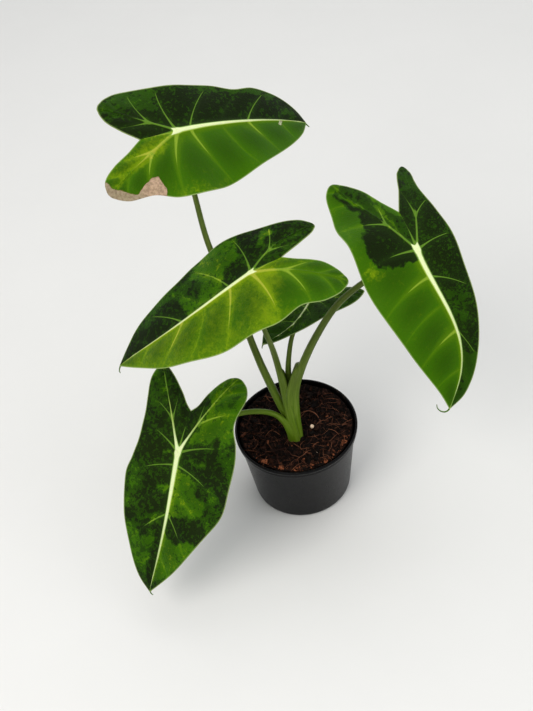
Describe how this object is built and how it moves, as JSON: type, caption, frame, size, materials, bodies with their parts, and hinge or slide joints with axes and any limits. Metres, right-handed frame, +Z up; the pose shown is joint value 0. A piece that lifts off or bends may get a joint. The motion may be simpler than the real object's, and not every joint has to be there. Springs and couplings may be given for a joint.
{
  "type": "potted alocasia plant",
  "caption": "Potted aroid house plant: large arrow-shaped leaves on long arching stalks that rise in one clump from a round tapered nursery pot filled with bark soil.",
  "frame": {"origin": "centre of the pot's base, in the plane that the pot stands on", "axes": "+Z up along the pot's axis; -Y is the front, the side that the picture is taken from; +X to the right seen from the front"},
  "size_m": [0.3279, 0.2697, 0.4175],
  "materials": {
    "pot": "black thermoformed nursery pot, satin, with a soft sheen on the rim",
    "soil": "moist coir and fine bark chips, dark red-brown",
    "stalk": "pale olive green, smooth and faintly mottled, paler at the foot",
    "blade": "velvety, dark green with bright green patches, pale ribs and a pale edge line"
  },
  "bodies": {
    "root": {"pot": "pot", "soil": "soil", "stalk_back_left": "stalk", "stalk_middle": "stalk", "stalk_right": "stalk", "stalk_front_left": "stalk", "stalk_inner": "stalk", "blade_back_left": "blade", "blade_middle": "blade", "blade_right": "blade", "blade_front_left": "blade", "blade_inner": "blade"}
  },
  "joints": []
}
